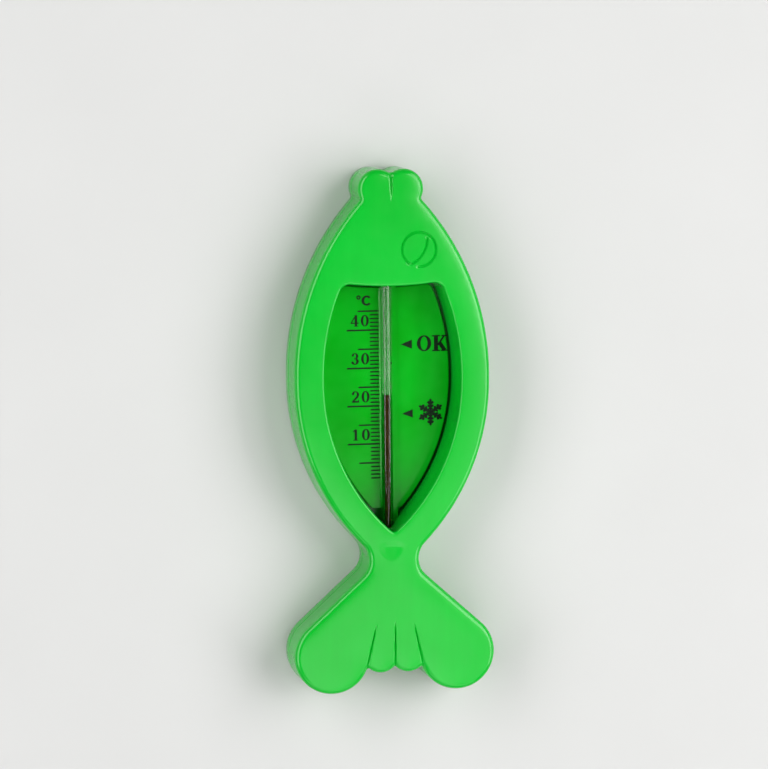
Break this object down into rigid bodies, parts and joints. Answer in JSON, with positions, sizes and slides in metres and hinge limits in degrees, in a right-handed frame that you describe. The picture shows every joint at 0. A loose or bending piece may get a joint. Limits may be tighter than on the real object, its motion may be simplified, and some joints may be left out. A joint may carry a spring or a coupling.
{
  "type": "floating pool thermometer",
  "caption": "Fish-shaped floating bath thermometer: hollow shells, a recessed scale plate and a liquid-in-glass tube in an open window.",
  "frame": {"origin": "middle of the flat back that the fish lies on, at the centre of its length and width", "axes": "+Y along the fish towards the mouth, +Z out of the face that carries the scale, +X to the right of the scale"},
  "size_m": [0.077, 0.1984, 0.023],
  "materials": {
    "shell": "glossy moulded, light green",
    "plate": "glossy, deeper green, printed in near black",
    "glass": "clear drawn glass",
    "spirit": "dark red dyed liquid",
    "bush": "matt soft rubber"
  },
  "bodies": {
    "thermometer": {"front_shell": "shell", "back_shell": "shell", "scale_plate": "plate", "glass_stem": "glass", "glass_tip": "glass", "glass_bulb": "glass", "spirit_reservoir": "spirit", "spirit_column": "spirit", "upper_bush": "bush", "lower_bush": "bush"},
    "column_top": {"spirit_meniscus": "spirit"}
  },
  "joints": [
    {"name": "column_rise", "type": "slide", "parent": "thermometer", "child": "column_top", "axis": [0, 1, 0], "range_m": [-0.0319, 0.0319], "stiffness_N_per_m": 0.5, "deforming": ["spirit_column"]}
  ]
}
